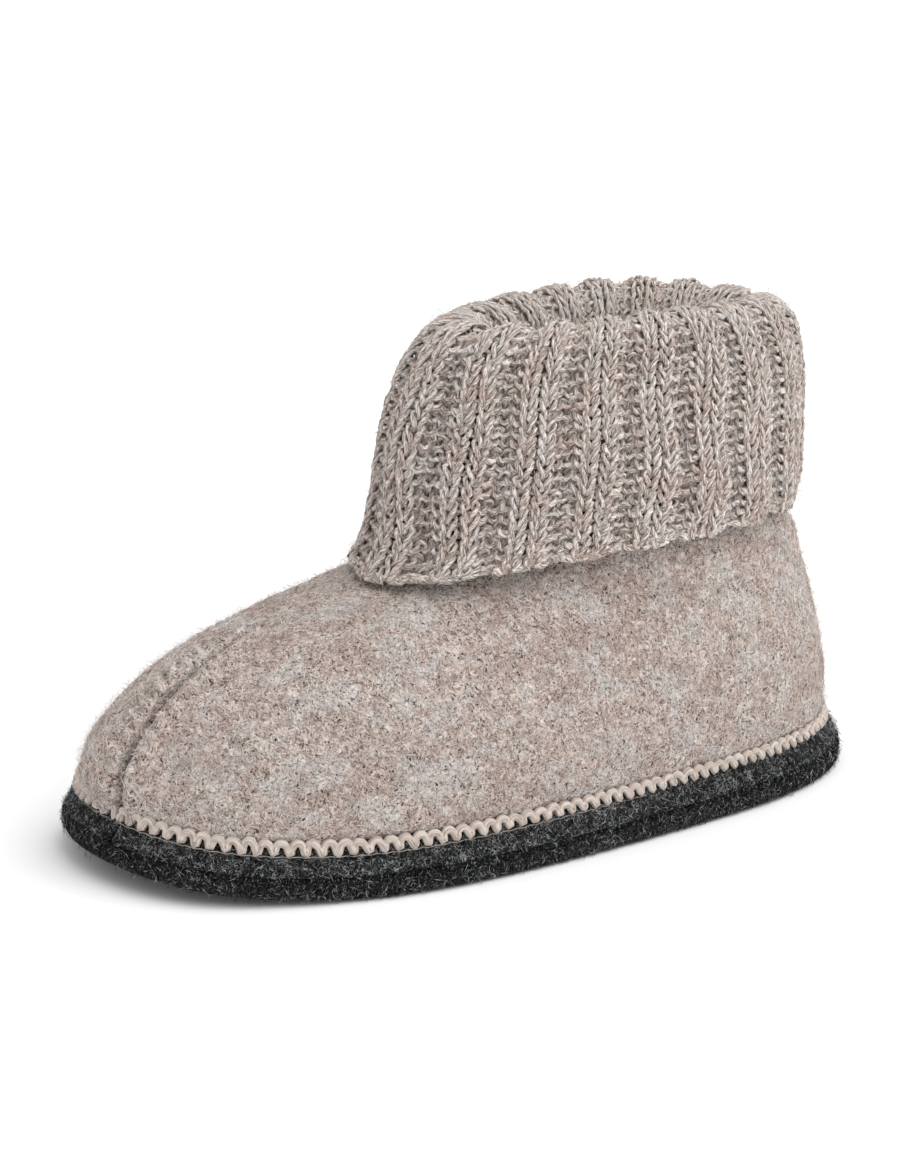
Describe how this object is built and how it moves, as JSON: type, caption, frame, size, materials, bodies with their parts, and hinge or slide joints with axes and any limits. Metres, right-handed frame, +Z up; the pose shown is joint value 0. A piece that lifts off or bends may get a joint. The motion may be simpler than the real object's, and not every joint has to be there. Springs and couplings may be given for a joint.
{
  "type": "wool slipper boot",
  "caption": "Child's ankle-high slipper of boiled wool with a folded rib-knit cuff, a felt side band and a flat felt sole, for the left foot.",
  "frame": {"origin": "middle of the sole's length and width, on the floor", "axes": "-Y to the toe, +Y to the heel, +X to the outer side of the left foot, +Z up"},
  "size_m": [0.0765, 0.175, 0.1072],
  "materials": {
    "charcoal_felt": "dense dark felt with pale fibres",
    "sock_felt": "plain felt",
    "boiled_wool": "felted melange with a short nap",
    "rib_knit": "ribbed knit of melange yarn",
    "edging_yarn": "plain cream yarn"
  },
  "bodies": {
    "root": {"outsole": "charcoal_felt", "side_band": "charcoal_felt", "insole": "sock_felt", "upper": "boiled_wool", "cuff": "rib_knit"}
  },
  "joints": []
}
